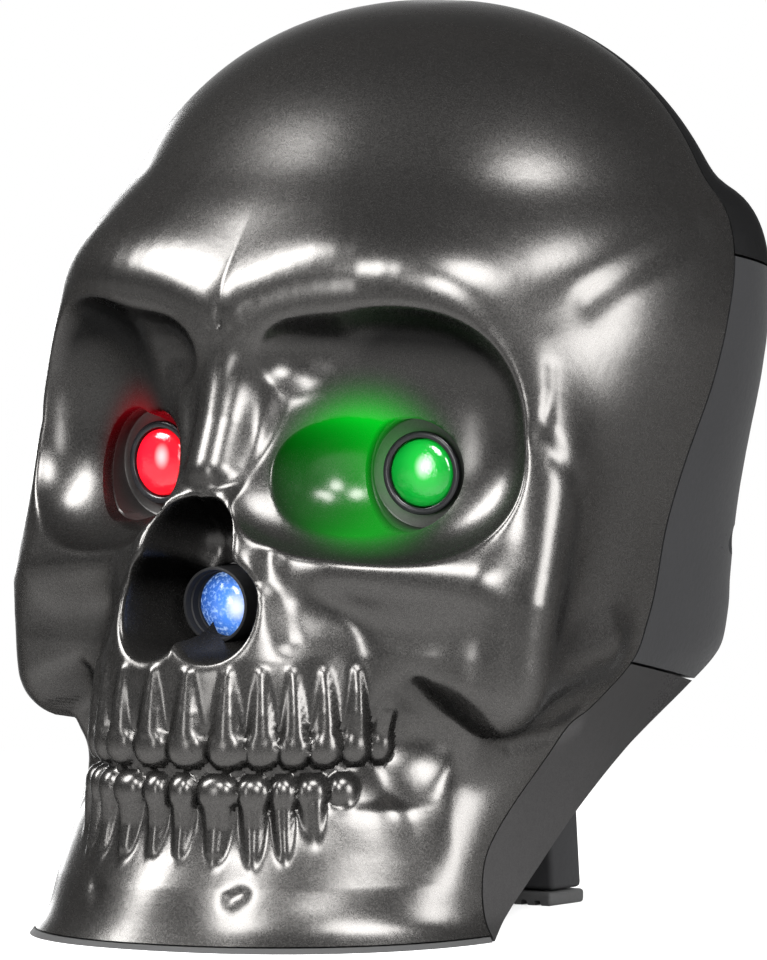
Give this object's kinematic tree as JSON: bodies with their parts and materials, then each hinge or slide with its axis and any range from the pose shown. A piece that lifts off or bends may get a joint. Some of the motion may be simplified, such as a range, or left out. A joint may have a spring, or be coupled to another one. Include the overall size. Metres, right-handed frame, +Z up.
{
  "type": "skull projector light",
  "caption": "Hollow skull-shaped holiday light with a glowing lens in each eye, a ripple projector behind the nose, and a hinged rear leg that props it up.",
  "frame": {"origin": "centre of the bounding box at its underside, where the base mat and the leg's foot rest", "axes": "+Z up to the crown, -Y out of the face, +X towards the skull's own left side"},
  "size_m": [0.1248, 0.145, 0.1697],
  "materials": {
    "face_paint": "satin gunmetal paint with fine metallic flake",
    "dark_paint": "satin dark grey paint",
    "black_plastic": "fine moulded texture",
    "soft_rubber": "matt",
    "screw_steel": "zinc plated",
    "green_lens": "polished dome",
    "red_lens": "polished dome",
    "blue_lens": "rippled",
    "clear_optic": "polished",
    "circuit_board": "solder mask",
    "hub_plastic": "smooth",
    "motor_steel": "plated can",
    "sink_aluminium": "extruded",
    "chip_black": "moulded",
    "capacitor_sleeve": "sleeved can",
    "inlet_metal": "folded shell"
  },
  "bodies": {
    "housing": {"base_mat": "soft_rubber", "base_plate": "black_plastic", "base_screw_1": "screw_steel", "base_screw_2": "screw_steel", "base_screw_3": "screw_steel", "base_screw_4": "screw_steel", "base_screw_5": "screw_steel", "board_screw_1": "screw_steel", "board_screw_2": "screw_steel", "board_screw_3": "screw_steel", "board_screw_4": "screw_steel", "colour_switch": "chip_black", "condenser_lens": "clear_optic", "control_chip": "chip_black", "cover_screw_1": "screw_steel", "cover_screw_2": "screw_steel", "cover_screw_3": "screw_steel", "cover_screw_4": "screw_steel", "crown_screw_1": "screw_steel", "crown_screw_2": "screw_steel", "crown_shell": "dark_paint", "disc_motor": "motor_steel", "eye_bezel_left": "black_plastic", "eye_bezel_right": "black_plastic", "eye_board_left": "circuit_board", "eye_board_right": "circuit_board", "eye_cup_left": "face_paint", "eye_cup_right": "face_paint", "eye_led_left": "clear_optic", "eye_led_right": "clear_optic", "eye_lens_left": "green_lens", "eye_lens_right": "red_lens", "face_shell": "face_paint", "heat_sink": "sink_aluminium", "lamp_board": "circuit_board", "lamp_led": "clear_optic", "leg_pin": "screw_steel", "main_board": "circuit_board", "motor_bracket": "black_plastic", "neck_shell": "dark_paint", "nose_lens": "blue_lens", "power_inlet": "inlet_metal", "power_switch": "chip_black", "projector_housing": "black_plastic", "projector_screw_1": "screw_steel", "projector_screw_2": "screw_steel", "projector_screw_3": "screw_steel", "projector_screw_4": "screw_steel", "rear_cover": "black_plastic", "smoothing_capacitor": "capacitor_sleeve", "speed_switch": "chip_black"},
    "stand": {"stand_leg": "black_plastic", "stand_foot_pad": "soft_rubber"},
    "ripple": {"ripple_disc": "clear_optic", "disc_hub": "hub_plastic"},
    "power_key": {"power_button": "soft_rubber"},
    "colour_key": {"colour_button": "soft_rubber"},
    "speed_key": {"speed_button": "soft_rubber"}
  },
  "joints": [
    {"name": "stand_fold", "type": "hinge", "parent": "housing", "child": "stand", "pos_m": [0, 0.04507, 0.03893], "axis": [-1, 0, 0], "range_deg": [0, 50]},
    {"name": "ripple_spin", "type": "hinge", "parent": "housing", "child": "ripple", "pos_m": [0, -0.01496, 0.04804], "axis": [0, 1, 0], "continuous": true},
    {"name": "power_key_press", "type": "slide", "parent": "housing", "child": "power_key", "axis": [0, -1, 0], "range_m": [0, 0.001], "stiffness_N_per_m": 400},
    {"name": "colour_key_press", "type": "slide", "parent": "housing", "child": "colour_key", "axis": [0, -1, 0], "range_m": [0, 0.001], "stiffness_N_per_m": 400},
    {"name": "speed_key_press", "type": "slide", "parent": "housing", "child": "speed_key", "axis": [0, -1, 0], "range_m": [0, 0.001], "stiffness_N_per_m": 400}
  ]
}
